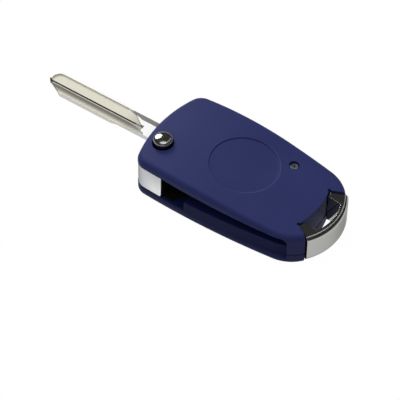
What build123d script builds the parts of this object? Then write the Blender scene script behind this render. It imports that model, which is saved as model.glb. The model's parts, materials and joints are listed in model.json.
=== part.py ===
from build123d import *
import os
from math import asin, atan2, cos, degrees, radians, sin, sqrt, tan

# Flip key remote shell, in millimetres. +X points to the key ring end, the open blade points to -X,
# the blade slot is on the -Y side and +Z is the face with the round badge seat.
# The pieces are drawn about the centre of the badge seat and moved to the shared origin at the end.

# Case outline, seen from above
CASE_FRONT = 31.0           # badge centre to the front end
CASE_TAIL = 33.0            # badge centre to the key ring end
CASE_WIDTH = 35.0
WIDEST_X = -10.0            # where the case is widest
FRONT_BULGE = 47.0          # radii of the four long arcs
SIDE_BULGE = 270.0
TAIL_FULLNESS = 0.9         # radius of the tail arc beyond half the width
FRONT_CORNER = 4.5
TAIL_CORNER = 12.0

# Case height and walls
CROWN_HEIGHT = 15.75        # highest point of the crowned face
CROWN_X = -14.0             # where that point lies
CROWN_BEND = 165.0          # radius of the crown along the case
CROWN_FALL = 6.6            # slope of its straight part towards the tail, in degrees
CROSS_RADIUS = 200.0        # radius of the crown across the case
TOP_EDGE = 1.8              # rounding of the upper rim
BOTTOM_EDGE = 1.7           # rounding of the lower rim
HEEL_RADIUS = 5.8           # wider rounding of the underside at the front end
HEEL_LENGTH = 4.4           # length over which the underside rises there
PARTING_Z = 3.8             # joint between the two covers
WALL = 1.6
ROOF = 1.6
FLOOR = 1.8
SEAM = 0.45                 # air in the joint between the covers

# Blade, carrier and hinge
PIVOT_X = -24.6
PIVOT_INSET = 10.3          # near side of the case to the pivot axis
BLADE_OFFSET = 6.7          # pivot axis to the middle of the blade
BLADE_REACH = 48.3          # pivot axis to the tip
BLADE_WIDTH = 7.4
BLADE_THICK = 2.2
BLADE_Z = 9.0               # middle of the blade's thickness
TANG_WIDTH = 4.8
TANG_LENGTH = 10.0
TANG_FIT = 0.05
TIP_CUT = 6.2               # length of the slanting cut at the tip
TIP_FACE = 3.2              # width of the blade left of that cut
NOSE_ROUND = 3.2
LAND_DEPTH = 0.55           # sunk land along the blade
LAND_RIM = 0.6              # rim left round the land
LAND_END = 5.1              # shoulder to the pointed end of the land
LAND_TAPER = 6.4            # length of that pointed end
RIDGE_Y = 1.6               # blade's middle line to the ridge beside the land
RIDGE_WIDTH = 0.3
GROOVE_WIDTH = 1.0          # deeper groove at the foot of the ridge
GROOVE_DEPTH = 0.5
COVE_RADIUS = 2.0           # hollow along the edge beyond the ridge
COVE_DEPTH = 0.8
COVE_END = 3.2              # shoulder to the point where the hollow runs out
COVE_TAPER = 6.5
RELIEF_WIDTH = 2.4          # sloping relief of the other edge at the root
RELIEF_START = 16.0         # shoulder to where the relief begins
RELIEF_FULL = 7.0           # shoulder to where it has its full width
RELIEF_SLOPE = 15.0
CARRIER_BOTTOM = 4.0
CARRIER_CORNER = 0.6
CARRIER_FIT = 0.1           # how far the carrier stays inside the case outline
ROTOR_ROOM = 12.6           # radius of the space that the carrier turns in
CUP_WALL = 0.8              # black liner of that space
ROTOR_WALL = 1.0            # wall of the upper cover round the liner
CORE_INNER = 5.6            # ring shaped recess under the liner, radii
CORE_OUTER = 11.4
ROTOR_GAP = 0.15            # air above and below the carrier
RIM = 1.1                   # rim of the lower cover round the rotor well
NECK_RADIUS = 4.9           # carrier neck that turns in the roof
NECK_HEIGHT = 0.9
TURN_FIT = 0.06
PIN_RADIUS = 0.75
PIN_HOLLOW = 0.42

# Release button
BUTTON_RADIUS = 3.0
BUTTON_HOLE = 3.35
BUTTON_RIM = 1.9            # how far the rim stands above the crown
BUTTON_DOME = 0.6
BUTTON_ROUND = 0.7
BUTTON_TRAVEL = 2.2
LUG_WIDTH = 1.9
LUG_REACH = 4.2
LUG_HEIGHT = 0.9
CATCH_THICK = 0.5

# Spring and lower bearing
CUP_RADIUS = 3.3
CUP_BORE = 2.7
CUP_TOP = 5.6
CUP_FLOOR = 0.8
CUP_KEY = 3.6               # side of the square foot
CUP_KEY_DEPTH = 0.8
WASHER_RADIUS = 4.1
WASHER_THICK = 0.6
SPRING_RADIUS = 2.25        # to the middle of the wire
WIRE = 0.6
SPRING_TURNS = 5

# Blade slot
SLOT_DEPTH = 8.1            # from the side of the case to the back wall
SLOT_END = 25.3
SLOT_BACK_WALL = 1.2
SLOT_FLOOR = 7.3
SLOT_START = -9.6           # where the raised lower wall begins
SLOT_RECESS = 1.0           # how far that wall stands back from the outline at the slot end
SLOT_CORNER = 2.0
LIP_Z = 12.2                # upper lip over the rotor
LIP_DROP = 1.7              # how far the lip has dropped at the slot end
LIP_BEND = -18.0            # where it begins to drop

# Badge seat and case screw
BADGE_RADIUS = 10.6
BADGE_DEPTH = 0.55
SCREW_X = 11.8
SCREW_Y = 9.5
SCREW_HEAD = 1.45
SCREW_HEAD_HEIGHT = 1.1
SCREW_SINK = 0.5
SCREW_SHANK = 0.95
SCREW_LENGTH = 8.6
SCREW_FIT = 0.05
BOSS_WALL = 1.5

# Key ring bar
TAIL_ARC = 26.5             # radius of the cover's end wall, about the badge centre
BAR_THICK = 1.3
BAR_GAP = 0.3
BAR_PROUD = 0.8             # how far the bar stands out from the case outline
BAR_STEP = 0.6              # the bar's top lies this far below the crown
BAR_FOOT_EDGE = 1.5
BAR_ROUND = 1.4             # rounding of the bar's outer upper edge
NECK_STEP = 0.2             # the opening's side walls stand this far outside the bar's feet
WEDGE_ANGLE = 18.2          # where the bar's joints leave the covers' end wall, in degrees
BAR_SPLAY = 31.3            # half angle between the bar's two ends, in degrees
JOINT_RELIEF = 0.5          # round relief in the inner corner of each joint
BAR_BOTTOM = 1.5
TANG_Z = 4.8                # underside of the bar's two feet
FOOT_THICK = 1.2
FOOT_TALL = 3.0
FOOT_X = 21.6
FOOT_SIDE = 2.0             # wall of the bay to the middle of a foot
FOOT_LENGTH = 5.6
FOOT_WIDTH = 3.4
BAR_SCREW_RADIUS = 0.7
BAR_SCREW_HEAD = 1.3

# Remote keys and the bay behind them
KEY_LENGTH = 8.4
KEY_WIDTH = 6.6
KEY_PITCH = 10.0
KEY_X = 5.0                 # middle key
KEY_Y = 1.0
KEY_ROUND = 2.2
KEY_SINK = 0.25
KEY_GAP = 0.2
KEY_TRAVEL = 0.4
KEY_FLANGE = 0.6
KEY_FLANGE_THICK = 0.55
MAT_THICK = 0.8
MAT_MARGIN = 1.0
FRAME_HEIGHT = 2.0
FRAME_BAR = 1.3
FRAME_CLEAR = 0.3
CLIP_THICK = 0.3

EASE = 0.05                 # small air gap between pieces that are screwed or pressed together
TALL = 40.0

HALF_WIDTH = CASE_WIDTH / 2
TAIL_BULGE = HALF_WIDTH + TAIL_FULLNESS
PIVOT_Y = PIVOT_INSET - HALF_WIDTH
SLOT_BACK = SLOT_DEPTH - HALF_WIDTH
FOOT_Y = HALF_WIDTH - SLOT_DEPTH - SLOT_BACK_WALL - FOOT_SIDE
RING_OPENING = 2 * (FOOT_Y + NECK_STEP)
CARRIER_TOP = LIP_Z - ROTOR_GAP
BLADE_TIP = PIVOT_X - BLADE_REACH
ORIGIN_X = (BLADE_TIP + CASE_TAIL + BAR_PROUD) / 2
NODES = {}


def crown_line(x, inset=0.0):
    """Height of the crown over the middle line: an arc, then a straight fall towards the tail."""
    reach = CROWN_BEND - inset
    base = CROWN_HEIGHT - CROWN_BEND
    turn = CROWN_X + reach * sin(radians(CROWN_FALL))
    if x <= turn:
        return base + sqrt(reach ** 2 - (x - CROWN_X) ** 2)
    return base + reach * cos(radians(CROWN_FALL)) - (x - turn) * tan(radians(CROWN_FALL))


def crown_z(x, y, inset=0.0):
    """Height of the crowned face over a point, or of the surface that lies inset below it."""
    axis = CROWN_HEIGHT - CROSS_RADIUS
    return axis + sqrt((crown_line(x, inset) - axis) ** 2 - y ** 2)


def crown_slope(x):
    """Slope of the crown along the case, in degrees, falling towards the tail."""
    return min(degrees(asin((x - CROWN_X) / CROWN_BEND)), CROWN_FALL)


def side_y(x, inset=0.0):
    """Half width of the case at a point of its length."""
    return HALF_WIDTH - SIDE_BULGE + sqrt((SIDE_BULGE - inset) ** 2 - (x - WIDEST_X) ** 2)


def end_x(y, end, bulge, inset=0.0):
    """Reach of an end arc at a distance from the middle line."""
    return end - bulge + sqrt((bulge - inset) ** 2 - y ** 2)


def end_corner(end, bulge, sign, inset):
    """Where an end arc meets the side arc, before the corner is rounded."""
    x, y = 0.0, HALF_WIDTH - inset
    for _ in range(12):
        x = sign * end_x(y, end, bulge, inset)
        y = side_y(x, inset)
    return x, y


def case_outline(inset=0.0):
    """Outline of the case seen from above, or the line that lies inset inside it."""
    fx, fy = end_corner(CASE_FRONT, FRONT_BULGE, -1, inset)
    tx, ty = end_corner(CASE_TAIL, TAIL_BULGE, 1, inset)
    wide = HALF_WIDTH - inset
    edges = [
        ThreePointArc((fx, fy), (WIDEST_X, wide), (tx, ty)),
        ThreePointArc((tx, ty), (CASE_TAIL - inset, 0), (tx, -ty)),
        ThreePointArc((tx, -ty), (WIDEST_X, -wide), (fx, -fy)),
        ThreePointArc((fx, -fy), (inset - CASE_FRONT, 0), (fx, fy)),
    ]
    face = make_face(edges)
    face = fillet([v for v in face.vertices() if v.X > 0], TAIL_CORNER - inset)
    return fillet([v for v in face.vertices() if abs(v.X - fx) < 0.01], FRONT_CORNER - inset)


def prism(face, low, high):
    return extrude(Pos(0, 0, low) * face, high - low)


def disc(x, y, radius, low, high):
    return Pos(x, y, (low + high) / 2) * Cylinder(radius, high - low)


def block(x0, x1, y0, y1, z0, z1):
    return Pos((x0 + x1) / 2, (y0 + y1) / 2, (z0 + z1) / 2) * Box(x1 - x0, y1 - y0, z1 - z0)


def crown_form(inset=0.0):
    """Solid below the crown: its line along the case, turned about an axis far beneath."""
    turn = CROWN_X + (CROWN_BEND - inset) * sin(radians(CROWN_FALL))
    front, tail, base = -CASE_FRONT - 5, CASE_TAIL + 5, -20
    edges = [
        ThreePointArc(*[(x, crown_line(x, inset)) for x in (front, CROWN_X, turn)]),
        Line((turn, crown_line(turn, inset)), (tail, crown_line(tail, inset))),
        Polyline((tail, crown_line(tail, inset)), (tail, base), (front, base),
                 (front, crown_line(front, inset))),
    ]
    pivot = Axis((0, 0, CROWN_HEIGHT - CROSS_RADIUS), (1, 0, 0))
    face = (Plane.XZ * make_face(edges)).rotate(pivot, -8)
    return revolve(face, pivot, 16)


def crowned(face, low, inset=0.0):
    """A prism on an outline, closed above by the crown or a surface inset below it."""
    return prism(face, low, CROWN_HEIGHT + 1) & crown_form(inset)


def case_body():
    body = crowned(case_outline(), 0)
    crown = body.faces().filter_by(lambda f: f.normal_at(f.center()).Z > 0.9)
    shared = [e for e in body.edges() if sum(e in f.edges() for f in crown) == 2]
    rim = [e for f in crown for e in f.edges() if e not in shared]
    body = fillet(rim, TOP_EDGE)
    foot = body.faces().sort_by(Axis.Z)[0].edges()
    body = fillet(foot, BOTTOM_EDGE)
    heel = HEEL_LENGTH - CASE_FRONT
    corner = block(-TALL, heel, -TALL, TALL, -1, HEEL_RADIUS)
    return body - (corner - Pos(heel, 0, HEEL_RADIUS) * Rot(90, 0, 0) * Cylinder(HEEL_RADIUS, 3 * TALL))


def lip_z(x):
    """Height of the slot's upper lip: level over the rotor, then falling with the crown."""
    run = (x - LIP_BEND) / (SLOT_END - LIP_BEND)
    return LIP_Z - LIP_DROP * max(run, 0.0)


def slot_room():
    """Space of the folded blade, open to the -Y side, with its rounded upper corner."""
    far = -CASE_FRONT - 5
    profile = Polyline((far, PARTING_Z - 5), (SLOT_END, PARTING_Z - 5), (SLOT_END, lip_z(SLOT_END)),
                       (LIP_BEND, LIP_Z), (far, LIP_Z), close=True)
    face = make_face(Plane.XZ * profile)
    corner = [v for v in face.vertices() if v.X > SLOT_END - 0.1 and v.Z > PARTING_Z]
    face = fillet(corner, SLOT_CORNER)
    room = extrude(face, amount=TALL, dir=(0, -1, 0))
    return Pos(0, SLOT_BACK, 0) * room


def liner_radius():
    return ROTOR_ROOM + CUP_WALL


def bay_plan(inset=0.0):
    """Plan of the bay for the circuit board, inside the covers."""
    face = case_outline(WALL + inset) & Circle(TAIL_ARC - WALL - inset)
    near = SLOT_BACK + SLOT_BACK_WALL + inset
    keep = Pos(0, near + TALL / 2) * Rectangle(4 * TALL, TALL)
    face = face & keep
    return face - Pos(PIVOT_X, PIVOT_Y) * Circle(liner_radius() + EASE + ROTOR_WALL + inset)


def tail_wedge(shrink=0.0):
    """Plan of the space that the key ring bar fills, beyond the covers' end wall."""
    slope = sin(radians(BAR_SPLAY)) / cos(radians(BAR_SPLAY))
    start_x, start_y = wedge_start()
    apex = start_x - start_y / slope + shrink / sin(radians(BAR_SPLAY))
    reach = TALL
    face = make_face(Polyline((apex, 0), (apex + reach, reach * slope), (apex + reach, -reach * slope),
                              close=True))
    return face - Circle(TAIL_ARC + shrink)


def wedge_start():
    """Where the joint with the bar leaves the covers' end wall."""
    angle = radians(WEDGE_ANGLE)
    return TAIL_ARC * cos(angle), TAIL_ARC * sin(angle)


def bar_room():
    room = prism(tail_wedge(), -1, CROWN_HEIGHT + 2)
    x, y = wedge_start()
    for side in (-1, 1):
        room += disc(x, side * y, JOINT_RELIEF, -1, CROWN_HEIGHT + 2)
    return room


def foot_plan(side, clear=0.0):
    x0 = FOOT_X - FOOT_WIDTH / 2 - clear
    y_out = side * (FOOT_Y + FOOT_WIDTH / 2 + clear)
    y_in = side * (FOOT_Y - FOOT_WIDTH / 2 - clear)
    return x0, min(y_out, y_in), max(y_out, y_in)


def neck_y(side, clear=0.0):
    """Sides of the tang that joins a foot to its end of the bar."""
    inner = RING_OPENING / 2 - clear
    outer = FOOT_Y + FOOT_WIDTH / 2 + clear
    return (inner, outer) if side > 0 else (-outer, -inner)


def screw_boss_z():
    """Level where the upper and lower screw bosses meet."""
    return PARTING_Z + 3.0


def head_seat_z():
    return crown_z(SCREW_X, SCREW_Y) - SCREW_SINK - SCREW_HEAD_HEIGHT


def top_cover(body):
    cover = body & block(-TALL, TALL, -TALL, TALL, PARTING_Z + SEAM, TALL)
    cover -= badge_seat()
    cover -= crowned(bay_plan(), PARTING_Z - 1, ROOF)
    cover -= slot_room()
    cover -= disc(PIVOT_X, PIVOT_Y, liner_radius() + EASE, PARTING_Z - 1, LIP_Z)
    cover -= bar_room()
    cover -= disc(PIVOT_X, PIVOT_Y, NECK_RADIUS + TURN_FIT, LIP_Z - 1, LIP_Z + NECK_HEIGHT + CATCH_THICK + EASE)
    cover -= disc(PIVOT_X, PIVOT_Y, BUTTON_HOLE, LIP_Z, TALL)
    cover += disc(SCREW_X, SCREW_Y, SCREW_HEAD + BOSS_WALL, screw_boss_z() + EASE,
                  crown_z(SCREW_X, SCREW_Y) - ROOF / 2)
    cover -= disc(SCREW_X, SCREW_Y, SCREW_SHANK + 0.2, 0, TALL)
    cover -= disc(SCREW_X, SCREW_Y, SCREW_HEAD + 0.12, head_seat_z(), TALL)
    for side in (-1, 1):
        low, high = neck_y(side, BAR_GAP)
        cover -= block(FOOT_X, CASE_TAIL, low, high, 0, TANG_Z + FOOT_TALL + BAR_GAP)
    return cover


def badge_seat():
    """Round recess for a badge, square to the crown at its centre."""
    tilt = crown_slope(0)
    top = crown_z(0, 0)
    cutter = Cylinder(BADGE_RADIUS, TALL, align=(Align.CENTER, Align.CENTER, Align.MIN))
    return Pos(0, 0, top - BADGE_DEPTH) * Rot(0, tilt, 0) * cutter


def key_places():
    return [(KEY_X + n * KEY_PITCH, KEY_Y) for n in (-1, 0, 1)]


def key_face(grow=0.0):
    return RectangleRounded(KEY_LENGTH + 2 * grow, KEY_WIDTH + 2 * grow, KEY_ROUND + grow)


def mat_z():
    return FLOOR + EASE + KEY_FLANGE_THICK + KEY_TRAVEL + EASE


def mat_face(grow=0.0):
    length = KEY_LENGTH + 2 * KEY_PITCH + 2 * (MAT_MARGIN + grow)
    width = KEY_WIDTH + 2 * (MAT_MARGIN + grow)
    return Pos(KEY_X, KEY_Y) * RectangleRounded(length, width, KEY_ROUND + MAT_MARGIN + grow)


def recessed_outline():
    """Case outline swung in about the start of the slot's lower wall."""
    start = Pos(SLOT_START, -side_y(SLOT_START))
    swing = degrees(atan2(SLOT_RECESS, SLOT_END - SLOT_START))
    return start * Rot(0, 0, swing) * start.inverse() * case_outline()


def bottom_cover(body):
    tray = body & block(-TALL, TALL, -TALL, TALL, -1, PARTING_Z)
    wall = crowned(recessed_outline(), BOTTOM_EDGE)
    wall = wall & block(SLOT_START, SLOT_END - BAR_GAP, -TALL, SLOT_BACK, 0, SLOT_FLOOR)
    step = prism(case_outline() - recessed_outline(), BOTTOM_EDGE, TALL)
    tray -= step & block(SLOT_START, SLOT_END, -TALL, SLOT_BACK, 0, TALL)
    tray += wall
    tray -= prism(bay_plan(), FLOOR, TALL)
    for room in rotor_well():
        tray -= room
    tray -= bar_room()
    tray += locating_rim()
    tray += disc(SCREW_X, SCREW_Y, SCREW_SHANK + BOSS_WALL, FLOOR - EASE, screw_boss_z())
    tray -= disc(SCREW_X, SCREW_Y, SCREW_SHANK + SCREW_FIT, FLOOR - 0.6, TALL)
    for side in (-1, 1):
        tray += disc(FOOT_X, side * FOOT_Y, BAR_SCREW_RADIUS + 0.9, FLOOR - EASE, TANG_Z - EASE)
        tray -= disc(FOOT_X, side * FOOT_Y, BAR_SCREW_RADIUS + SCREW_FIT, FLOOR - 0.6, TALL)
    tray -= Pos(PIVOT_X, PIVOT_Y, FLOOR) * Box(CUP_KEY + 2 * EASE, CUP_KEY + 2 * EASE, 2 * CUP_KEY_DEPTH)
    tray += prism(mat_face(0.8) - mat_face(-0.25), FLOOR - EASE, mat_z() - EASE)
    for x, y in key_places():
        tray -= prism(Pos(x, y) * key_face(KEY_GAP), -1, FLOOR + 0.01)
    return tray


def washer_z():
    return CARRIER_BOTTOM - EASE - WASHER_THICK


def liner_z():
    """Underside of the liner's floor."""
    return CARRIER_BOTTOM - ROTOR_GAP - CUP_WALL


def rotor_well():
    """Rooms in the lower cover: for the liner, its cored floor and the seats of the lower bearing."""
    pivot = Pos(PIVOT_X, PIVOT_Y)
    plan = case_outline(RIM) & (pivot * Circle(liner_radius() + EASE))
    core = case_outline(RIM + 1) & (pivot * (Circle(CORE_OUTER) - Circle(CORE_INNER)))
    return [
        disc(PIVOT_X, PIVOT_Y, liner_radius() + EASE, CARRIER_BOTTOM - ROTOR_GAP, TALL),
        prism(plan, liner_z() - EASE, CARRIER_BOTTOM),
        prism(core, FLOOR, CARRIER_BOTTOM),
        disc(PIVOT_X, PIVOT_Y, CUP_RADIUS + TURN_FIT, FLOOR, TALL),
        disc(PIVOT_X, PIVOT_Y, WASHER_RADIUS + EASE, washer_z() - EASE, TALL),
    ]


def rotor_cup():
    """Black liner: a floor under the carrier and a wall behind it, open to the front and the slot."""
    pivot = Pos(PIVOT_X, PIVOT_Y)
    inside = case_outline(RIM + EASE)
    floor = inside & (pivot * Circle(liner_radius()))
    cup = prism(floor - pivot * Circle(WASHER_RADIUS + 2 * EASE), liner_z(), liner_z() + CUP_WALL)
    wall = inside & (pivot * (Circle(liner_radius()) - Circle(ROTOR_ROOM)))
    wall = wall & (Pos(0, SLOT_BACK + TALL / 2) * Rectangle(4 * TALL, TALL))
    return cup + prism(wall, liner_z() + CUP_WALL / 2, LIP_Z - EASE)


def locating_rim():
    """Low upstand that fits inside the upper cover along the far side and the front of the bay."""
    ring = bay_plan(EASE + 0.05) - bay_plan(EASE + 0.95)
    ring = prism(ring, FLOOR - EASE, PARTING_Z + 1.4)
    for side in (-1, 1):
        low, high = neck_y(side, 2 * BAR_GAP)
        ring -= block(FOOT_X - FOOT_WIDTH, CASE_TAIL, low - 1.5, high + 1.5, FLOOR, TALL)
    return ring


def key_ring_bar():
    """Chromed bar whose top lies a step below the covers, with an edge that is only just broken."""
    plan = case_outline(-BAR_PROUD) & tail_wedge(BAR_GAP)
    bar = crowned(plan, BAR_BOTTOM, BAR_STEP)
    bar = fillet(bar.faces().sort_by(Axis.Z)[0].edges().sort_by(Axis.X)[-1], BAR_FOOT_EDGE)
    rim = [e for e in bar.edges() if e.center().Z > TANG_Z + 4 and e.center().X > 30 and abs(e.center().Y) < 6]
    bar = fillet(rim, BAR_ROUND)
    inner = Pos(CASE_TAIL - TAIL_BULGE, 0) * Circle(TAIL_BULGE - BAR_THICK)
    opening = inner & (Pos(CASE_TAIL - TALL / 2, 0) * Rectangle(TALL, RING_OPENING))
    bar -= prism(opening, -1, TALL)
    for side in (-1, 1):
        low, high = neck_y(side)
        x0, y0, y1 = foot_plan(side)
        tang = block(FOOT_X, TAIL_ARC + 0.6, low, high, TANG_Z, TANG_Z + FOOT_TALL)
        foot = block(x0, FOOT_X + FOOT_WIDTH / 2, y0, y1, TANG_Z, TANG_Z + FOOT_THICK)
        bar += tang - disc(FOOT_X, side * FOOT_Y, BAR_SCREW_HEAD + 0.3, TANG_Z + FOOT_THICK, TALL)
        bar += foot
        bar -= disc(FOOT_X, side * FOOT_Y, BAR_SCREW_RADIUS + 0.1, 0, TANG_Z + FOOT_THICK + 0.01)
    return bar


def pan_screw(x, y, seat, shank, head, head_height, length, slot_depth=0.5):
    """Pan head screw with a cross recess, its head seated at the given level."""
    screw = disc(x, y, shank, seat - length, seat)
    cap = disc(x, y, head, seat, seat + head_height)
    cap = fillet(cap.edges().sort_by(Axis.Z)[-1], head_height * 0.4)
    bit = Box(head * 1.1, head * 0.26, 2 * slot_depth) + Box(head * 0.26, head * 1.1, 2 * slot_depth)
    cap -= Pos(x, y, seat + head_height) * Rot(0, 0, 25) * bit
    return screw + cap


def case_screw():
    return pan_screw(SCREW_X, SCREW_Y, head_seat_z() + EASE / 2, SCREW_SHANK, SCREW_HEAD,
                     SCREW_HEAD_HEIGHT, head_seat_z() - FLOOR + 0.3)


def bar_screw(side):
    seat = TANG_Z + FOOT_THICK + EASE / 2
    return pan_screw(FOOT_X, side * FOOT_Y, seat, BAR_SCREW_RADIUS, BAR_SCREW_HEAD, 0.9,
                     seat - FLOOR + 0.3, 0.4)


def carrier_plan():
    """Outline that lies flush with the case both open and folded."""
    face = case_outline(CARRIER_FIT)
    turned = Pos(PIVOT_X, PIVOT_Y) * Rot(0, 0, 180) * Pos(-PIVOT_X, -PIVOT_Y) * face
    return face & turned


def blade_y():
    return PIVOT_Y + BLADE_OFFSET


def blade_carrier():
    hub = prism(carrier_plan(), CARRIER_BOTTOM, CARRIER_TOP)
    edges = hub.edges().filter_by(Axis.Z)
    reach = 0.7 * hub.bounding_box().size.Y / 2
    sharp = [e for e in edges if abs(e.center().Y - PIVOT_Y) > reach]
    hub = fillet(sharp, CARRIER_CORNER)
    hub += disc(PIVOT_X, PIVOT_Y, NECK_RADIUS, CARRIER_TOP - EASE, LIP_Z + NECK_HEIGHT)
    hub -= disc(PIVOT_X, PIVOT_Y, CUP_RADIUS + TURN_FIT, 0, CUP_TOP + 0.2)
    hub -= disc(PIVOT_X, PIVOT_Y, BUTTON_RADIUS + TURN_FIT, 0, TALL)
    lug_low = LIP_Z + NECK_HEIGHT - LUG_HEIGHT - BUTTON_TRAVEL - 0.2
    hub -= block(PIVOT_X - LUG_REACH - 0.1, PIVOT_X + LUG_REACH + 0.1, PIVOT_Y - LUG_WIDTH / 2 - 0.1,
                 PIVOT_Y + LUG_WIDTH / 2 + 0.1, lug_low, TALL)
    hub -= tang_solid(TANG_FIT)
    hub -= disc(pin_x(), blade_y(), PIN_RADIUS, CARRIER_BOTTOM + 1.0, TALL)
    return hub


def tang_start():
    """Where the blade's shoulder meets the carrier."""
    return -CASE_FRONT + CARRIER_FIT


def tang_solid(clear=0.0):
    start = tang_start() - 1.0
    return block(start, tang_start() + TANG_LENGTH + clear, blade_y() - TANG_WIDTH / 2 - clear,
                 blade_y() + TANG_WIDTH / 2 + clear, BLADE_Z - BLADE_THICK / 2 - clear,
                 BLADE_Z + BLADE_THICK / 2 + clear)


def pin_x():
    return tang_start() + TANG_LENGTH * 0.55


def blade_plan():
    """Outline of the blade beyond its shoulder, with the round nose and the slanting cut."""
    root = tang_start() - 0.15
    y0, y1 = blade_y() - BLADE_WIDTH / 2, blade_y() + BLADE_WIDTH / 2
    cut_y = y1 - BLADE_WIDTH + (BLADE_WIDTH - TIP_FACE) * 0.75
    plan = Polyline((root, y0), (root, y1), (BLADE_TIP, y1), (BLADE_TIP, cut_y),
                    (BLADE_TIP + TIP_CUT, y0), close=True)
    face = make_face(plan)
    nose = [v for v in face.vertices() if v.X < BLADE_TIP + 0.01 and v.Y > blade_y()]
    face = fillet(nose, NOSE_ROUND)
    point = [v for v in face.vertices() if v.X < BLADE_TIP + 0.01 and v.Y < blade_y()]
    return fillet(point, 0.6)


def key_blade():
    low, high = BLADE_Z - BLADE_THICK / 2, BLADE_Z + BLADE_THICK / 2
    root = tang_start() - 0.15
    blade = prism(blade_plan(), low, high)
    blade = blade + (tang_solid() & block(root - 0.5, TALL, -TALL, TALL, 0, TALL))
    for turn in (0, 180):
        for cutter in (blade_land(), blade_cove(), blade_relief()):
            blade -= Pos(0, blade_y(), BLADE_Z) * Rot(turn, 0, 0) * cutter
    blade -= disc(pin_x(), blade_y(), PIN_RADIUS, 0, TALL)
    return blade


def blade_land():
    """Sunk land of one face with its pointed end, and the deeper groove at the foot of the ridge."""
    low, high = RIDGE_WIDTH / 2 - RIDGE_Y, BLADE_WIDTH / 2 - LAND_RIM
    start, end = BLADE_TIP + LAND_RIM, tang_start() - LAND_END
    plan = make_face(Polyline((start, low), (end, low), (end - LAND_TAPER, high), (start, high), close=True))
    nose = [v for v in plan.vertices() if v.X < start + 0.01 and v.Y > 0]
    plan = fillet(nose, NOSE_ROUND - LAND_RIM)
    floor = BLADE_THICK / 2 - LAND_DEPTH
    groove = block(start, end - LAND_TAPER / 2, low, low + GROOVE_WIDTH, floor - GROOVE_DEPTH, floor + 0.1)
    return prism(plan, floor, BLADE_THICK) + groove


def blade_cove():
    """Round hollow that takes away one edge of the blade and runs out in a point near the root."""
    side = RIDGE_Y + RIDGE_WIDTH / 2
    rise = COVE_RADIUS - COVE_DEPTH
    y = -side - sqrt(COVE_RADIUS ** 2 - rise ** 2)
    start, end = BLADE_TIP - 1, tang_start() - COVE_END
    length = end - COVE_TAPER - start
    along = (Align.CENTER, Align.CENTER, Align.MIN)
    place = Pos(start, y, BLADE_THICK / 2 + rise) * Rot(0, 90, 0)
    taper = Pos(start + length, y, BLADE_THICK / 2 + rise) * Rot(0, 90, 0)
    return place * Cylinder(COVE_RADIUS, length, align=along) + taper * Cone(COVE_RADIUS, rise, COVE_TAPER, align=along)


def blade_relief():
    """Sloping relief of the other edge, from its curved start to the shoulder."""
    half = BLADE_WIDTH / 2
    start, full, end = (tang_start() - d for d in (RELIEF_START, RELIEF_FULL, -1))
    inner = half - RELIEF_WIDTH
    plan = make_face(Polyline((start, half), (full, inner), (end, inner), (end, half + 1), (start, half + 1),
                              close=True))
    above = Box(TALL * 3, TALL, TALL, align=(Align.CENTER, Align.MIN, Align.MIN))
    above = Pos(0, inner, BLADE_THICK / 2) * Rot(-RELIEF_SLOPE, 0, 0) * above
    return prism(plan, 0, BLADE_THICK) & above


def blade_pin():
    low, high = CARRIER_BOTTOM + 1.05, CARRIER_TOP - 0.05
    tube = disc(pin_x(), blade_y(), PIN_RADIUS - 0.02, low, high)
    tube -= disc(pin_x(), blade_y(), PIN_HOLLOW, low - 1, high + 1)
    return tube - block(pin_x(), pin_x() + 2, blade_y() - 0.12, blade_y() + 0.12, low - 1, high + 1)


def release_button():
    top = crown_z(PIVOT_X, PIVOT_Y) + BUTTON_RIM
    foot = LIP_Z + NECK_HEIGHT - LUG_HEIGHT - 1.2
    dome = (BUTTON_RADIUS ** 2 + BUTTON_DOME ** 2) / (2 * BUTTON_DOME)
    barrel = disc(0, 0, BUTTON_RADIUS, foot, top + BUTTON_DOME)
    barrel = barrel & (Pos(0, 0, top + BUTTON_DOME - dome) * Sphere(dome))
    rim = [e for e in barrel.edges() if abs(e.center().Z - top) < 0.1 and e.length > BUTTON_RADIUS]
    barrel = fillet(rim, BUTTON_ROUND)
    lug_top = LIP_Z + NECK_HEIGHT - EASE
    lugs = block(-LUG_REACH, LUG_REACH, -LUG_WIDTH / 2, LUG_WIDTH / 2, lug_top - LUG_HEIGHT, lug_top)
    lugs = lugs & disc(0, 0, LUG_REACH, 0, TALL)
    button = barrel + lugs
    button -= disc(0, 0, CUP_BORE - 0.1, foot - 1, spring_top() + BUTTON_TRAVEL + 0.3)
    return Pos(PIVOT_X, PIVOT_Y, 0) * button


def catch_ring():
    """Steel ring in the roof that the button's lugs bear against."""
    low = LIP_Z + NECK_HEIGHT + EASE / 2
    ring = disc(0, 0, NECK_RADIUS - EASE, low, low + CATCH_THICK)
    return Pos(PIVOT_X, PIVOT_Y, 0) * (ring - disc(0, 0, BUTTON_HOLE, 0, TALL))


def spring_bottom():
    return FLOOR + CUP_FLOOR + EASE


def spring_top():
    return LIP_Z - BUTTON_TRAVEL + 0.4


def flip_spring():
    height = spring_top() - spring_bottom() - WIRE
    path = Helix(pitch=height / SPRING_TURNS, height=height, radius=SPRING_RADIUS)
    wire = sweep(Plane(origin=path @ 0, z_dir=path % 0) * Circle(WIRE / 2), path=path)
    return Pos(PIVOT_X, PIVOT_Y, spring_bottom() + WIRE / 2) * wire


def spring_cup():
    cup = disc(0, 0, CUP_RADIUS, FLOOR + EASE / 2, CUP_TOP)
    cup -= disc(0, 0, CUP_BORE, FLOOR + CUP_FLOOR, TALL)
    cup += Pos(0, 0, FLOOR) * Box(CUP_KEY, CUP_KEY, 2 * (CUP_KEY_DEPTH - EASE))
    return Pos(PIVOT_X, PIVOT_Y, 0) * cup


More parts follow.
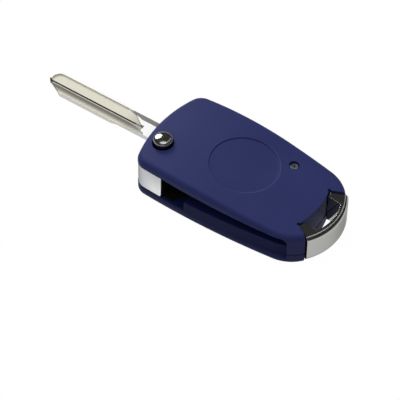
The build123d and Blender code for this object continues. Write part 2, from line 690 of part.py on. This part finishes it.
def thrust_washer():
    ring = disc(0, 0, WASHER_RADIUS, washer_z(), washer_z() + WASHER_THICK)
    return Pos(PIVOT_X, PIVOT_Y, 0) * (ring - disc(0, 0, CUP_RADIUS + TURN_FIT, 0, TALL))


def remote_key(x, y):
    cap = prism(key_face(), KEY_SINK, FLOOR + EASE + KEY_FLANGE_THICK)
    cap = fillet(cap.faces().sort_by(Axis.Z)[0].edges(), 0.3)
    cap += prism(key_face(KEY_FLANGE), FLOOR + EASE, FLOOR + EASE + KEY_FLANGE_THICK)
    return Pos(x, y, 0) * cap


def keypad_mat():
    low = mat_z()
    mat = prism(mat_face(-0.05), low, low + MAT_THICK)
    for x, y in key_places():
        mat += disc(x, y, 1.8, low + MAT_THICK - EASE, low + MAT_THICK + 0.5)
    return mat


def frame_z():
    return mat_z() + MAT_THICK + EASE


def board_frame():
    """Inner frame that holds the mat down and carries the circuit board."""
    outer = bay_plan(FRAME_CLEAR + 1.1)
    ring = outer - offset(outer, -FRAME_BAR)
    ring += mat_face(0.7) - mat_face(-0.7)
    ring = ring & outer
    ring -= Pos(SCREW_X, SCREW_Y) * Circle(SCREW_HEAD + BOSS_WALL + FRAME_CLEAR)
    frame = prism(ring, frame_z(), frame_z() + FRAME_HEIGHT)
    for side in (-1, 1):
        low, high = neck_y(side, 1.0)
        frame -= block(FOOT_X - FOOT_WIDTH, CASE_TAIL, low - 1.6, high + 1.6, 0, TALL)
    solids = frame.solids().sort_by(SortBy.VOLUME)
    return solids[-1]


def battery_clip():
    """Bent spring steel strip that stands on the frame beside the battery's place."""
    low = frame_z() + FRAME_HEIGHT + EASE
    x0 = KEY_X - KEY_PITCH
    y0 = KEY_Y + KEY_WIDTH / 2 + MAT_MARGIN - 0.6
    foot = block(x0 - 1.5, x0 + 1.5, y0, y0 + 1.3, low, low + CLIP_THICK)
    rise = block(x0 - 1.5, x0 + 1.5, y0, y0 + CLIP_THICK, low, low + 3.4)
    arm = block(x0 - 1.5, x0 + 1.5, y0 - 4.5, y0 + CLIP_THICK, low + 3.4 - CLIP_THICK, low + 3.4)
    return foot + rise + arm


def build():
    body = case_body()
    NODES["top_cover"] = top_cover(body)
    NODES["bottom_cover"] = bottom_cover(body)
    NODES["key_ring_bar"] = key_ring_bar()
    NODES["bar_screw_near"] = bar_screw(-1)
    NODES["bar_screw_far"] = bar_screw(1)
    NODES["case_screw"] = case_screw()
    NODES["blade_carrier"] = blade_carrier()
    NODES["key_blade"] = key_blade()
    NODES["blade_pin"] = blade_pin()
    NODES["release_button"] = release_button()
    NODES["catch_ring"] = catch_ring()
    NODES["flip_spring"] = flip_spring()
    NODES["spring_cup"] = spring_cup()
    NODES["thrust_washer"] = thrust_washer()
    NODES["rotor_cup"] = rotor_cup()
    for name, (x, y) in zip(("unlock_button", "lock_button", "boot_button"), key_places()):
        NODES[name] = remote_key(x, y)
    NODES["keypad_mat"] = keypad_mat()
    NODES["board_frame"] = board_frame()
    NODES["battery_clip"] = battery_clip()


build()
os.makedirs("parts", exist_ok=True)
for node, shape in NODES.items():
    export_step(Pos(-ORIGIN_X, 0, 0) * shape, f"parts/{node}.step")
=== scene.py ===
import json
from math import radians

import bpy
from mathutils import Matrix, Vector


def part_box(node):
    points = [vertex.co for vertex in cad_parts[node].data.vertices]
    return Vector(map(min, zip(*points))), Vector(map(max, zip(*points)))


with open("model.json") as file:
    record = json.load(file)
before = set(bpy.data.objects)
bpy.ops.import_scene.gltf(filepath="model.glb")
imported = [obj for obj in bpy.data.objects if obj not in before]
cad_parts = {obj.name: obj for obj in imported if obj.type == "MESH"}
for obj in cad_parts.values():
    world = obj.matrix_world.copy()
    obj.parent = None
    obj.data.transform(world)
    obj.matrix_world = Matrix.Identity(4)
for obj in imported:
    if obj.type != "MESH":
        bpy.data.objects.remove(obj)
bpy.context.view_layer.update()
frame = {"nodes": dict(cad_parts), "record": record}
nodes = frame["nodes"]
scene = bpy.context.scene
scene.view_settings.view_transform = "Standard"

# Covers: the upper and lower shell of the case, moulded in navy plastic with a satin, finely sparked
# surface. The lower shell, with the recessed wall of the slot, is painted darker as shade. The rim below
# that wall and the end behind the slot are painted paler as light. The rim of the badge seat carries two
# arcs of painted highlight, palest on the side of the tail.
NAVY_DARK = (0.0185, 0.0240, 0.102, 1)
NAVY_PALE = (0.0210, 0.0270, 0.111, 1)
NAVY_HIGHLIGHT = (0.060, 0.068, 0.170, 1)
NAVY_SHEEN = (0.55, 0.6, 1.0, 1)
# Painted shade for the lower shell, and a paler navy as painted light for its lower rim and its end past
# the slot.
WALL_SHADE_DARK = (0.0070, 0.0092, 0.053, 1)
WALL_SHADE_PALE = (0.0080, 0.0104, 0.058, 1)
RIM_LIT_NAVY = (0.033, 0.038, 0.117, 1)
BADGE_RIM = (0.0100, 0.0115)        # radii between which the two arcs of painted highlight lie
RIM_HIGHLIGHTS = ((0.0, 0.0), (0.20, 0.0), (0.32, 0.7), (0.44, 0.0), (0.56, 0.0), (0.68, 0.9), (0.80, 0.0),
            (1.0, 0.0))             # share of the way between these radii, and how strong the painted highlight is
HIGHLIGHT_REACH = 0.0080                  # the painted highlight is palest from this far behind the seat's centre
RIM_HEIGHT = (0.0030, 0.0020)       # heights between which the painted shade of the wall goes over into the painted light of the lower rim
SLOT_END = (0.0446, 0.0450)         # places along the case between which the slot ends and the painted light of the end begins


def feed(tree, node, inputs):
    """Link each input to the socket that is given for it, or set it to the value that is given."""
    for name, value in inputs.items():
        if isinstance(value, bpy.types.NodeSocket):
            tree.links.new(value, node.inputs[name])
        else:
            node.inputs[name].default_value = value


def add_node(tree, kind, inputs, **settings):
    """A new node of this kind, with its settings made and its inputs fed."""
    node = tree.nodes.new("ShaderNode" + kind)
    for name, value in settings.items():
        setattr(node, name, value)
    feed(tree, node, inputs)
    return node


def new_finish(name):
    """A new material, its node tree, its shader and the coordinates of the piece that wears it."""
    material = bpy.data.materials.new(name)
    material.use_nodes = True
    tree = material.node_tree
    return material, tree, tree.nodes["Principled BSDF"], add_node(tree, "TexCoord", {}).outputs["Object"]


def along_axes(tree, vector):
    """The outputs X, Y and Z of a vector."""
    return add_node(tree, "SeparateXYZ", {"Vector": vector}).outputs


def noise(tree, place, scale, detail=2.0):
    """A cloudy number between 0 and 1 that changes from place to place."""
    return add_node(tree, "TexNoise", {"Vector": place, "Scale": scale, "Detail": detail}).outputs["Fac"]


def between(tree, value, start, end, low=0.0, high=1.0):
    """A number that goes from low to high while the value goes from start to end."""
    span = {"Value": value, "From Min": start, "From Max": end, "To Min": low, "To Max": high}
    return add_node(tree, "MapRange", span).outputs["Result"]


def compute(tree, operation, *values):
    """The result of one sum or comparison of the values."""
    return add_node(tree, "Math", dict(enumerate(values)), operation=operation).outputs["Value"]


def colours_along(tree, value, stops):
    """The colour that lies at this value on a row of stops, each a position and a colour."""
    ramp = add_node(tree, "ValToRGB", {"Fac": value})
    elements = ramp.color_ramp.elements
    for element, (position, colour) in zip((elements[0], elements[-1]), (stops[0], stops[-1])):
        element.position = position
        element.color = colour
    for position, colour in stops[1:-1]:
        elements.new(position).color = colour
    return ramp.outputs["Color"]


def tinted(stops, tint=(1.0, 1.0, 1.0)):
    """Stops of a position and a brightness, made stops of a position and a colour of this tint."""
    return [(position, tuple(brightness * part for part in tint) + (1,)) for position, brightness in stops]


def mix(tree, share, first, second, how="MIX"):
    """The first colour, which gives way to the second, or to their product, as the share rises."""
    inputs = {0: share, 6: first, 7: second}
    return add_node(tree, "Mix", inputs, data_type="RGBA", blend_type=how).outputs[2]


def soften(tree, shader, texture, strength, depth, edge, samples=4):
    """Give the surface this texture as a faint relief, and round its edges over this radius."""
    rounded = add_node(tree, "Bevel", {"Radius": edge}, samples=samples).outputs["Normal"]
    relief = {"Strength": strength, "Distance": depth, "Height": texture, "Normal": rounded}
    feed(tree, shader, {"Normal": add_node(tree, "Bump", relief).outputs["Normal"]})


def dress(material, *names):
    """Give the named pieces this material and no other."""
    for name in names:
        nodes[name].data.materials.clear()
        nodes[name].data.materials.append(material)


def navy_plastic(name, dark, pale, roughness=0.5, specular=0.2):
    """Sparked plastic: its material, node tree, shader, coordinates and cloudy colour."""
    material, tree, shader, place = new_finish(name)
    colour = colours_along(tree, noise(tree, place, scale=60.0, detail=3.0), ((0.3, dark), (0.7, pale)))
    soften(tree, shader, noise(tree, place, scale=4000.0), strength=0.12, depth=0.00005, edge=0.00025)
    feed(tree, shader, {"Base Color": colour, "Roughness": roughness, "Specular IOR Level": specular,
                        "Specular Tint": NAVY_SHEEN})
    return material, tree, shader, place, colour


mounts = {mount["name"]: mount["pos_m"] for mount in frame["record"]["mounts"]}
badge_x, badge_y = mounts["badge_seat"][:2]
upper, tree, shader, place, colour = navy_plastic("navy_satin", NAVY_DARK, NAVY_PALE)
from_seat = add_node(tree, "VectorMath", {0: place, 1: (1.0, 1.0, 0.0), 2: (-badge_x, -badge_y, 0.0)},
                     operation="MULTIPLY_ADD").outputs["Vector"]
radius = add_node(tree, "VectorMath", {0: from_seat}, operation="LENGTH").outputs["Value"]
# Two thin arcs of painted highlight on the rim of the badge seat, palest behind its centre.
arcs = colours_along(tree, between(tree, radius, *BADGE_RIM), tinted(RIM_HIGHLIGHTS))
behind = between(tree, along_axes(tree, from_seat)["X"], 0.0, HIGHLIGHT_REACH)
painted_highlight = compute(tree, "MULTIPLY", arcs, behind)
feed(tree, shader, {"Base Color": mix(tree, painted_highlight, colour, NAVY_HIGHLIGHT)})
dress(upper, "top_cover")

lower, tree, shader, place, colour = navy_plastic("navy_satin_painted_shade", WALL_SHADE_DARK, WALL_SHADE_PALE, specular=0.1)
axes = along_axes(tree, place)
below_wall = between(tree, axes["Z"], *RIM_HEIGHT)
past_slot = between(tree, axes["X"], *SLOT_END)
# Painted light on the lower rim and past the end of the slot, painted shade everywhere else on the lower
# shell.
painted_light_share = compute(tree, "MAXIMUM", below_wall, past_slot)
feed(tree, shader, {"Base Color": mix(tree, painted_light_share, colour, RIM_LIT_NAVY)})
dress(lower, "bottom_cover")

# Remote keys: three caps in the underside, moulded in the same plastic a shade darker and
# smoother. They sit in their holes and press on the rubber mat behind them.
CAP_DARK = (0.018, 0.019, 0.055, 1)
CAP_PALE = (0.022, 0.023, 0.064, 1)

cap = navy_plastic("key_cap_plastic", CAP_DARK, CAP_PALE, roughness=0.35)[0]
dress(cap, "unlock_button", "lock_button", "boot_button")

# Inner mouldings: the liner of the blade's turning space, the spring cup, its washer and the board frame,
# moulded in plain black plastic. The black of the liner also stands in for the deep shade inside the
# pocket where the blade turns.
BLACK_DARK = (0.0035, 0.004, 0.0035, 1)
BLACK_PALE = (0.006, 0.0065, 0.006, 1)

black, tree, shader, place = new_finish("black_moulding_and_shade")
colour = colours_along(tree, noise(tree, place, scale=900.0), ((0.0, BLACK_DARK), (1.0, BLACK_PALE)))
feed(tree, shader, {"Base Color": colour, "Roughness": 0.5, "Specular IOR Level": 0.25})
dress(black, "rotor_cup", "spring_cup", "thrust_washer", "board_frame")

# Keypad mat: soft grey silicone rubber with three domes, laid in behind the keys. It is plain
# and dull, and only its grey drifts a little.
RUBBER_DARK = (0.05, 0.05, 0.055, 1)
RUBBER_PALE = (0.065, 0.065, 0.07, 1)

rubber, tree, shader, place = new_finish("keypad_rubber")
colour = colours_along(tree, noise(tree, place, scale=1500.0), ((0.0, RUBBER_DARK), (1.0, RUBBER_PALE)))
feed(tree, shader, {"Base Color": colour, "Roughness": 0.7})
dress(rubber, "keypad_mat")

# Key ring bar: bright plating over a moulded bar. Its mirror surface has only the faintest
# waviness, and its edges are softened as plating softens them.
CHROME = (0.56, 0.56, 0.54, 1)
CHROME_EDGE = (0.5, 0.5, 0.5, 1)


def plating(name, roughness, scale, strength, edge, samples=4):
    """Plated metal with a slight waviness: its material, node tree, shader and coordinates."""
    material, tree, shader, place = new_finish(name)
    soften(tree, shader, noise(tree, place, scale), strength, depth=0.0002, edge=edge, samples=samples)
    feed(tree, shader, {"Metallic": 1.0, "Base Color": CHROME, "Specular Tint": CHROME_EDGE,
                        "Roughness": roughness})
    return material, tree, shader, place


bright = plating("bright_plating", roughness=0.08, scale=160.0, strength=0.04, edge=0.0003)[0]
dress(bright, "key_ring_bar")

# Release button: a dome with the same plating, on the hinge axis. Its top is well rounded into the side,
# and the side is painted dark, as shade, where it goes down into its hole.
BUTTON_SIDE_SHADE = (0.10, 0.10, 0.12, 1)
BUTTON_RIM = (0.0162, 0.0175)       # heights between which the painted shade on the side goes over into the dome

domed, tree, shader, place = plating("bright_plating_domed", roughness=0.11, scale=330.0, strength=0.2,
                                     edge=0.0012, samples=12)
dome = between(tree, along_axes(tree, place)["Z"], *BUTTON_RIM)
feed(tree, shader, {"Base Color": mix(tree, dome, BUTTON_SIDE_SHADE, CHROME)})
dress(domed, "release_button")

# Blade carrier: the block that the blade turns with, plated with a softer, brushed sheen. It has a painted
# highlight at its lower corner beside the slot.
SILVER = (0.68, 0.70, 0.73, 1)
SILVER_HIGHLIGHT = (1.0, 1.0, 1.0, 1)
CORNER_START = (-0.0060, -0.0015)   # places along the case between which the painted highlight on the corner begins
CORNER_HEIGHT = (0.0110, 0.0060)    # heights between which it begins, from above

silver, tree, shader, place = plating("satin_plating", roughness=0.22, scale=160.0, strength=0.04,
                                      edge=0.0003)
axes = along_axes(tree, place)
# Painted highlight on the lower corner beside the slot.
painted_highlight = compute(tree, "MULTIPLY", between(tree, axes["X"], *CORNER_START),
                 between(tree, axes["Z"], *CORNER_HEIGHT))
feed(tree, shader, {"Base Color": mix(tree, painted_highlight, SILVER, SILVER_HIGHLIGHT)})
dress(silver, "blade_carrier")

# Key blade: an uncut blank of nickel silver with a milled land and a hollow on each face. The flat faces
# keep their white plating, and the milled ones show the warmer metal. Painted shade lies across the hollow
# beside the ridge and in the groove. The milled faces grow darker towards the root, and the ground relief
# at the root is grey.
NICKEL = (0.64, 0.63, 0.555, 1)
PLATED_WHITE = (0.90, 0.91, 0.91, 1)
ROOT_DARK = (0.24, 0.23, 0.20, 1)
RELIEF_GREY = (0.20, 0.20, 0.19, 1)
SKIN = 0.00004                      # faces this close to the sides of the blade's box are unmilled
LAND = 0.0016                       # from the blade's middle line to its land
HOLLOW_SHADE = ((0.02, 1.0), (0.10, 0.84), (0.17, 0.66), (0.24, 0.47), (0.30, 0.36), (0.36, 0.40), (0.374, 0.56),
        (0.419, 0.56), (0.425, 0.15), (0.612, 0.15),
        (0.622, 1.0))               # share of the way from the lower edge to the land, and brightness
HOLLOW_SHADE_TINT = (1.0, 0.98, 0.93)
HOLLOW_SHADE_END = -0.0167                  # from here to the carrier only milled faces have the painted shade
BORDER = 0.00305                    # from the middle line to the wall that borders the land
BORDER_END = -0.0235                # where this wall ends towards the root
RELIEF_CORNER = (-0.01835, 0.0013)  # of the ground relief, along the case and from the middle line
RELIEF_SLOPE = -0.2667              # of its slanting side
ROOT_DARK_START = (-0.0245, -0.0185)     # places between which the milled faces grow darker towards the root
ROOT_DARK_SHARE = 0.5
MILLED_METAL = 0.1
PLATED_METAL = 0.3
UPRIGHT_METAL = 0.7                 # added on upright faces
DRAWN_LINES = (60.0, 3000.0, 3000.0)    # the finish is drawn out along the blade

low_corner, high_corner = (Vector(corner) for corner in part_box("key_blade"))
middle = (low_corner + high_corner) / 2
half = (high_corner - low_corner) / 2
nickel, tree, shader, place = new_finish("milled_nickel_silver")
axes = along_axes(tree, place)
height = compute(tree, "SUBTRACT", axes["Z"], middle.z)
offset = compute(tree, "SUBTRACT", axes["Y"], middle.y)
across = compute(tree, "MULTIPLY", offset, compute(tree, "SIGN", height))
plated = compute(tree, "GREATER_THAN", compute(tree, "ABSOLUTE", height), half.z - SKIN)
border = compute(tree, "MULTIPLY", compute(tree, "GREATER_THAN", across, BORDER),
                 compute(tree, "LESS_THAN", axes["X"], BORDER_END))
side = compute(tree, "GREATER_THAN", compute(tree, "ABSOLUTE", offset), half.y - SKIN)
upright = compute(tree, "MAXIMUM", side, compute(tree, "SUBTRACT", border, plated))
white = compute(tree, "MAXIMUM", plated, upright)
milled = compute(tree, "SUBTRACT", 1.0, white)
# Painted shade across the hollow and in the groove, darkest beside the ridge.
hollow_shade = colours_along(tree, between(tree, across, -half.y, LAND), tinted(HOLLOW_SHADE, HOLLOW_SHADE_TINT))
in_hollow_shade = compute(tree, "MAXIMUM", compute(tree, "LESS_THAN", axes["X"], HOLLOW_SHADE_END), milled)
slant = compute(tree, "MULTIPLY_ADD", axes["X"], RELIEF_SLOPE,
                RELIEF_CORNER[1] - RELIEF_SLOPE * RELIEF_CORNER[0])
relief = compute(tree, "GREATER_THAN", across, compute(tree, "MAXIMUM", slant, RELIEF_CORNER[1]))
ground = compute(tree, "MULTIPLY", relief, milled)
darker_root = compute(tree, "MULTIPLY", between(tree, axes["X"], *ROOT_DARK_START, high=ROOT_DARK_SHARE), milled)
colour = mix(tree, white, NICKEL, PLATED_WHITE)
colour = mix(tree, in_hollow_shade, colour, hollow_shade, how="MULTIPLY")
colour = mix(tree, darker_root, colour, ROOT_DARK)
colour = mix(tree, ground, colour, RELIEF_GREY)
metal = between(tree, plated, 0.0, 1.0, low=MILLED_METAL, high=PLATED_METAL)
feed(tree, shader, {"Base Color": colour, "Roughness": 0.55,
                    "Metallic": compute(tree, "MULTIPLY_ADD", upright, UPRIGHT_METAL, metal)})
drawn = add_node(tree, "Mapping", {"Vector": place, "Scale": DRAWN_LINES}).outputs["Vector"]
soften(tree, shader, noise(tree, drawn, scale=1.0), strength=0.01, depth=0.00002, edge=0.0001)
dress(nickel, "key_blade")

# Steel parts: screws, the blade's split pin, the coil spring, the catch ring and the battery
# clip, in plain bright steel with a slightly uneven sheen.
STEEL = (0.36, 0.37, 0.40, 1)

steel, tree, shader, place = new_finish("plain_steel")
sheen = between(tree, noise(tree, place, scale=1200.0), 0.0, 1.0, low=0.25, high=0.4)
feed(tree, shader, {"Metallic": 1.0, "Base Color": STEEL, "Roughness": sheen})
dress(steel, "case_screw", "bar_screw_near", "bar_screw_far", "blade_pin", "flip_spring", "catch_ring",
      "battery_clip")

# Floor: a wide white sheet just under the key. It shows white to the camera and in reflections,
# with the key's soft shadow on it, and throws only a little light back up.
SHEET_SIZE = 6
SHEET_GAP = 0.0001                  # between the sheet and the key
SHEET_GREY = (0.2, 0.2, 0.2, 1)
SHEET_GLOW = 1.06
SEEN_SHARE = 0.93                   # how much of the glow the camera sees
MIRRORED_SHARE = 0.65               # how much of it shows in metal
WHITE = (1, 1, 1, 1)


def mix_shaders(tree, share, first, second):
    """The first shader where the share is 0, the second where it is 1."""
    inputs = {0: share, 1: first.outputs[0], 2: second.outputs[0]}
    return add_node(tree, "MixShader", inputs)


bpy.ops.mesh.primitive_plane_add(size=SHEET_SIZE, location=(0, 0, -SHEET_GAP))
floor = bpy.context.object
floor.name = "floor"
paper = bpy.data.materials.new("white_sheet")
paper.use_nodes = True
tree = paper.node_tree
tree.nodes.remove(tree.nodes["Principled BSDF"])
matt = add_node(tree, "BsdfDiffuse", {"Color": SHEET_GREY})
glow = add_node(tree, "Emission", {"Color": WHITE, "Strength": SHEET_GLOW})
rays = add_node(tree, "LightPath", {}).outputs
mirrored = compute(tree, "ADD", rays["Is Glossy Ray"], rays["Is Transmission Ray"])
share = compute(tree, "ADD", compute(tree, "MULTIPLY", mirrored, MIRRORED_SHARE),
                compute(tree, "MULTIPLY", rays["Is Camera Ray"], SEEN_SHARE))
feed(tree, tree.nodes["Material Output"], {"Surface": mix_shaders(tree, share, matt, glow).outputs[0]})
floor.data.materials.append(paper)

# World: soft studio light that is strongest overhead and towards the blade. In reflections the
# room is dark between the white sheet and the light above.
LIGHT_LOW = 0.03                    # at the horizon
LIGHT_HIGH = 0.9                    # straight overhead
BLADE_LIGHT = 0.6                   # added towards the blade
BLADE_SIDE = (0.3, -1.0)            # X of the directions between which it grows
ROOM = ((0.0, 1.0), (0.05, 0.8), (0.12, 0.04), (0.94, 0.04),
        (0.97, 1.2))                # height between horizon and zenith, and brightness
ROOM_TINT = (1.0, 1.0, 0.98)

world = bpy.data.worlds.new("studio")
scene.world = world
world.use_nodes = True
tree = world.node_tree
axes = along_axes(tree, add_node(tree, "TexCoord", {}).outputs["Generated"])
overhead = between(tree, axes["Z"], 0.0, 1.0, low=LIGHT_LOW, high=LIGHT_HIGH)
light = compute(tree, "ADD", overhead, between(tree, axes["X"], *BLADE_SIDE, high=BLADE_LIGHT))
soft = tree.nodes["Background"]
feed(tree, soft, {"Color": WHITE, "Strength": light})
room = add_node(tree, "Background", {"Color": colours_along(tree, axes["Z"], tinted(ROOM, ROOM_TINT))})
backdrop = add_node(tree, "Background", {"Color": WHITE})
rays = add_node(tree, "LightPath", {}).outputs
around = mix_shaders(tree, rays["Is Glossy Ray"], soft, room)
seen = mix_shaders(tree, rays["Is Camera Ray"], around, backdrop)
feed(tree, tree.nodes["World Output"], {"Surface": seen.outputs[0]})

# Lamps: one softbox almost straight above, which the plating doesn't mirror, a round one behind
# the blade, which lies on the button as a white spot and on the plastic as a faint sheen, and a
# long strip overhead, which only draws the bright line along the edge of the bar.
STRIP_LENGTH = 1.2


def area_lamp(name, shape, size, energy, place):
    """An area lamp that shines straight down."""
    data = bpy.data.lights.new(name, "AREA")
    data.shape = shape
    data.size = size
    data.energy = energy
    lamp = bpy.data.objects.new(name, data)
    scene.collection.objects.link(lamp)
    lamp.location = place
    return lamp


def aim_at_key(lamp):
    """Turn the lamp towards the origin, which lies under the middle of the key."""
    lamp.rotation_euler = (-lamp.location).to_track_quat("-Z", "Y").to_euler()


softbox = area_lamp("softbox", "SQUARE", size=0.3, energy=1.2, place=(-0.21, 0.0, 0.8))
softbox.visible_glossy = False
aim_at_key(softbox)
round_lamp = area_lamp("round_lamp", "DISK", size=0.32, energy=1.9, place=(-0.54, 0.36, 0.47))
aim_at_key(round_lamp)
strip_lamp = area_lamp("strip_lamp", "RECTANGLE", size=0.08, energy=0.3, place=(0.1, 0.6, 0.8))
strip_lamp.data.size_y = STRIP_LENGTH
strip_lamp.visible_diffuse = False

# Camera: where the photograph was taken from, found from the round seat, the blade and the
# outline of the case. It looks at a point on the floor under the key and is a little rolled.
LOOK_AT = (0.009538, -0.008361, 0.0)
DISTANCE = 0.660342
AZIMUTH = -55.3003
ELEVATION = 47.7996
ROLL = 0.7779
FOCAL_LENGTH = 195.975
SENSOR_WIDTH = 36.0

lens = bpy.data.cameras.new("camera")
lens.sensor_width = SENSOR_WIDTH
lens.lens = FOCAL_LENGTH
lens.clip_start = 0.01
lens.clip_end = 20.0
camera = bpy.data.objects.new("camera", lens)
scene.collection.objects.link(camera)
scene.camera = camera
turn = Matrix.Rotation(radians(AZIMUTH + 90), 4, "Z") @ Matrix.Rotation(radians(90 - ELEVATION), 4, "X")
turn = turn @ Matrix.Rotation(radians(ROLL), 4, "Z")
camera.matrix_world = Matrix.Translation(LOOK_AT) @ turn @ Matrix.Translation((0.0, 0.0, DISTANCE))
